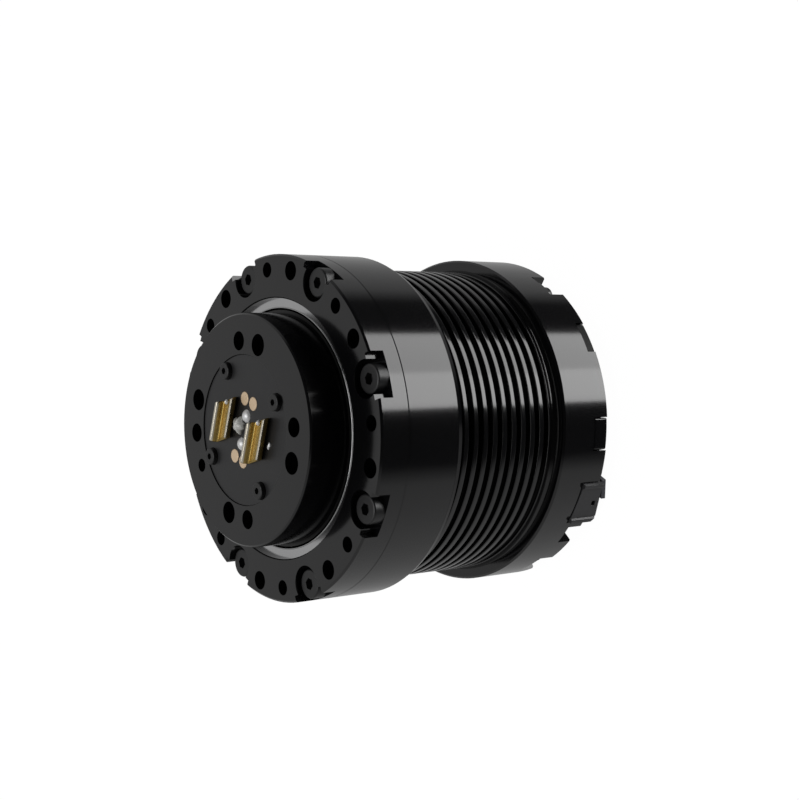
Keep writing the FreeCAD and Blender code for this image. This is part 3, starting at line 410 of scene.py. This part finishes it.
def make_race_lip():
    """The polished lip of the bearing's outer ring, a bead of round section."""
    lip = 22.22 * MM
    bead = 0.13 * MM
    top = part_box("output_bearing_outer_ring")[1][2]
    roll = np.linspace(0, 2 * math.pi, 16, endpoint=False)
    add_ring("race_lip", lip + bead * np.cos(roll), top + bead * np.sin(roll), "bearing_steel")


# ---- connector, ear wall and painted-shade block in the rear rim
rear_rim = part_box("motor_housing")[0][2]
cap_radius = 26.5 * MM
connector_angle = -137.5
connector_half = 4.3 * MM
connector_outer = 32.5 * MM
connector_slope = 0.21         # its rear edge runs off the rim by this much for each unit across
connector_lip = 0.7 * MM
connector_height = 4.7 * MM    # it reaches this far in front of the rim
connector_recess = 0.4 * MM    # its face lies this far behind its end lips
connector_bevel = 0.12 * MM
recess_wall = 0.24 * MM        # the slope from a lip to the face
key_half = 0.45 * MM
key_depth = 1.8 * MM
latch_start = 0.7 * MM         # across, from the connector's middle
latch_end = 4.5 * MM
rim_block_clearance = 0.1 * MM


def connector_rear(across):
    """Height of the connector's rear edge, which slopes to the rear and has one cut corner."""
    corner = np.maximum(-connector_half + 1.1 * MM - across, 0)
    return rear_rim - 0.3 * MM - connector_slope * (connector_half - across) + 1.3 * corner


def make_connector():
    """The moulded shell: outward x(y, z) = outer - recess between its two end lips - the key hole.
    A flat latch lies behind it, on the cap."""
    across = np.linspace(-connector_half, connector_half, 73)[None, :]
    share = np.linspace(0, 1, 49)[:, None]
    low = connector_rear(across)
    height = low + share * (rear_rim + connector_height - low)
    inside = np.clip((connector_half - connector_lip - np.abs(across)) / recess_wall, 0, 1)
    key_across = np.abs(across + 0.2 * MM) < key_half
    key_up = np.abs(height - low - 1.5 * MM) < key_half
    outward = connector_outer - connector_recess * inside - key_depth * (key_across & key_up)
    front = np.stack((outward, across + 0 * share, height), axis=-1)
    inner = np.where(height < rear_rim, cap_radius + 0.3 * MM, connector_outer - 7.7 * MM)
    back = np.stack((inner, across + 0 * share, height), axis=-1)
    shell = slab("connector_shell", turned_to(front, connector_angle), turned_to(back, connector_angle),
                 "housing", "connector_plastic", connector_bevel)
    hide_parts("io_connector")

    across = np.linspace(latch_start, latch_end, 9)[None, :]
    share = np.linspace(0, 1, 5)[:, None]
    height = connector_rear(across) - 1.55 * MM + 1.2 * MM * share
    outer = connector_outer - 0.3 * MM - 0.25 * (across - latch_start) + 0 * share
    front = np.stack((outer, across + 0 * share, height), axis=-1)
    back = np.stack((0 * outer + cap_radius - 0.2 * MM, across + 0 * share, height), axis=-1)
    slab("connector_latch", turned_to(front, connector_angle), turned_to(back, connector_angle),
         "housing", "connector_plastic", connector_bevel, latch_grey)


def make_rim_block(name, angle, half, inner, outer, low, high, coat):
    """A block with its outside on the circle x = sqrt(outer^2 - y^2), in a gap of the rim; it makes the ear
    wall and the near-black block of painted shade.
    """
    across = np.linspace(-half, half, 17)[None, :]
    height = np.linspace(low, high, 5)[:, None]
    skins = [np.stack((np.sqrt(radius ** 2 - across ** 2) + 0 * height, across + 0 * height,
                       height + 0 * across), axis=-1) for radius in (outer, inner)]
    slab(name, turned_to(skins[0], angle), turned_to(skins[1], angle), "housing", "case_black",
         0.25 * MM, coat)


def make_rib_crests():
    """The crests of the cooling ribs: each section is a superellipse,
    |r - middle|^8 / depth^8 + |z - rib|^8 / half^8 = 1. Behind the last rib the barrel rises to the
    flange in a cove, r = crest + round - sqrt(round^2 - (start - z)^2)."""
    crest = 29.63 * MM
    root = 28.6 * MM
    half = 0.56 * MM
    pitch = 2.31 * MM
    first = 36.845 * MM
    count = 9
    roll = np.linspace(0, 2 * math.pi, 48, endpoint=False)
    power = 8
    scale = (np.abs(np.cos(roll)) ** power + np.abs(np.sin(roll)) ** power) ** (-1 / power)
    radius = (crest + root) / 2 + (crest - root) / 2 * scale * np.cos(roll)
    for number in range(1, count + 1):
        height = first - (number - 1) * pitch + half * scale * np.sin(roll)
        add_ring(f"rib_crest_{number}", radius, height, "case_black")

    low = 14.92 * MM
    start = 16.1 * MM
    high = 16.55 * MM
    round_off = 2.0 * MM
    rise = np.linspace(low, start, 14)
    cove = crest + round_off - np.sqrt(round_off ** 2 - (start - rise) ** 2)
    corner = np.linspace(0, math.pi / 2, 6)
    nose = 0.2 * MM
    radius = np.concatenate((cove, crest - nose * (1 - np.cos(corner)), [root, root]))
    height = np.concatenate((rise, high - nose * (1 - np.sin(corner)), [high, low]))
    add_ring("rib_cove", radius, height, "case_black")


make_terminals()
make_solder()
make_race_lip()
make_rib_crests()
make_connector()
# The near-black block in the notch at -78 degrees is painted shade standing in for a dark pocket.
make_rim_block("rim_shade_block", -78, 3.05 * MM, 27.3 * MM, 31.7 * MM, rear_rim + rim_block_clearance,
            rear_rim + 2.3 * MM, painted_shade_black)
make_rim_block("ear_wall", -112.5, 3.0 * MM, 30.6 * MM, 31.75 * MM, rear_rim + rim_block_clearance,
            rear_rim + 3.4 * MM, finishes["case_black"])


# ---- studio
def area_lamp(name, azimuth, distance, height, width, tall, radiance):
    """A soft lamp on an upright panel at an azimuth, facing the axis; height is of its centre."""
    turn = math.radians(azimuth)
    data = bpy.data.lights.new(name, "AREA")
    data.shape = "RECTANGLE"
    data.size = width
    data.size_y = tall
    data.energy = radiance * math.pi * width * tall
    lamp = bpy.data.objects.new(name, data)
    inward = Vector((-math.cos(turn), -math.sin(turn), 0))
    side = UP.cross(-inward)
    lamp.matrix_world = Matrix((side, UP, -inward)).transposed().to_4x4()
    lamp.location = Vector((distance * math.cos(turn), distance * math.sin(turn), height))
    lamp.visible_camera = False
    bpy.context.scene.collection.objects.link(lamp)


lamp_distance = 0.42
lamp_height = -0.33
lamp_tall = 0.48
area_lamp("key_panel", -85.5, lamp_distance, lamp_height, 0.172, lamp_tall, 4.7)
area_lamp("side_panel", -60, lamp_distance, lamp_height, 0.21, lamp_tall, 3.4)

top = bpy.data.lights.new("top_panel", "AREA")
top.shape = "DISK"
top.size = 0.5
top.energy = 1.5
top_lamp = bpy.data.objects.new("top_panel", top)
top_lamp.location = (0, 0, 0.7)
top_lamp.visible_camera = False
bpy.context.scene.collection.objects.link(top_lamp)

world = bpy.data.worlds.new("studio")
bpy.context.scene.world = world
world.use_nodes = True
tree = world.node_tree
tree.nodes.clear()
coordinates = tree.nodes.new("ShaderNodeTexCoord")
gradient = tree.nodes.new("ShaderNodeTexGradient")
gradient.gradient_type = "RADIAL"
tree.links.new(coordinates.outputs["Generated"], gradient.inputs["Vector"])
ramp = tree.nodes.new("ShaderNodeValToRGB")
stops = ((0.0, 0.40), (0.09, 0.34), (0.125, 0.02), (0.23, 0.01), (0.40, 0.02), (0.455, 0.03),
         (0.49, 0.33), (0.53, 0.38), (0.60, 0.42), (0.70, 0.40), (1.0, 0.40))
elements = ramp.color_ramp.elements
while len(elements) < len(stops):
    elements.new(0.5)
for element, (place, value) in zip(elements, stops):
    element.position = place
    element.color = (value, value, value, 1)
tree.links.new(gradient.outputs["Fac"], ramp.inputs["Fac"])
room = tree.nodes.new("ShaderNodeBackground")
tree.links.new(ramp.outputs["Color"], room.inputs["Color"])
backdrop = tree.nodes.new("ShaderNodeBackground")
backdrop.inputs["Color"].default_value = (1, 1, 1, 1)
rays = tree.nodes.new("ShaderNodeLightPath")
mixed = tree.nodes.new("ShaderNodeMixShader")
tree.links.new(rays.outputs["Is Camera Ray"], mixed.inputs[0])
tree.links.new(room.outputs[0], mixed.inputs[1])
tree.links.new(backdrop.outputs[0], mixed.inputs[2])
tree.links.new(mixed.outputs[0], tree.nodes.new("ShaderNodeOutputWorld").inputs["Surface"])


def make_floor():
    """A wide pale floor under the rear cap. It looks white, with a faint shadow."""
    half = 3.0
    mesh = bpy.data.meshes.new("floor")
    mesh.from_pydata([(-half, -half, 0), (half, -half, 0), (half, half, 0), (-half, half, 0)], [],
                     [(0, 1, 2, 3)])
    floor = bpy.data.objects.new("floor", mesh)
    bpy.context.scene.collection.objects.link(floor)
    material, tree, shader = new_material("floor_paper")
    shader.inputs["Base Color"].default_value = (0.85, 0.85, 0.85, 1)
    shader.inputs["Roughness"].default_value = 0.8
    glow = tree.nodes.new("ShaderNodeEmission")
    rays = tree.nodes.new("ShaderNodeLightPath")
    both = tree.nodes.new("ShaderNodeMixShader")
    share = math_node(tree, "MULTIPLY", rays.outputs["Is Camera Ray"], 0.95)
    tree.links.new(share, both.inputs[0])
    tree.links.new(shader.outputs[0], both.inputs[1])
    tree.links.new(glow.outputs[0], both.inputs[2])
    glow.inputs["Strength"].default_value = 1.04
    output = next(n for n in tree.nodes if n.type == "OUTPUT_MATERIAL")
    tree.links.new(both.outputs[0], output.inputs["Surface"])
    mesh.materials.append(material)
    floor.visible_glossy = False
    floor.visible_shadow = False


make_floor()


# ---- camera
data = bpy.data.cameras.new("camera")
data.sensor_fit = "HORIZONTAL"
data.sensor_width = 36.0
data.lens = 67.22
camera = bpy.data.objects.new("camera", data)
right = Vector((-0.209993, -0.587611, -0.781419))
up = Vector((0.952897, -0.301897, -0.029054))
back = Vector((-0.218836, -0.750714, 0.623330))
camera.matrix_world = Matrix((right, up, back)).transposed().to_4x4()
camera.location = (-0.059844, -0.221002, 0.210741)
bpy.context.scene.collection.objects.link(camera)
bpy.context.scene.camera = camera
bpy.context.scene.view_settings.view_transform = "Standard"
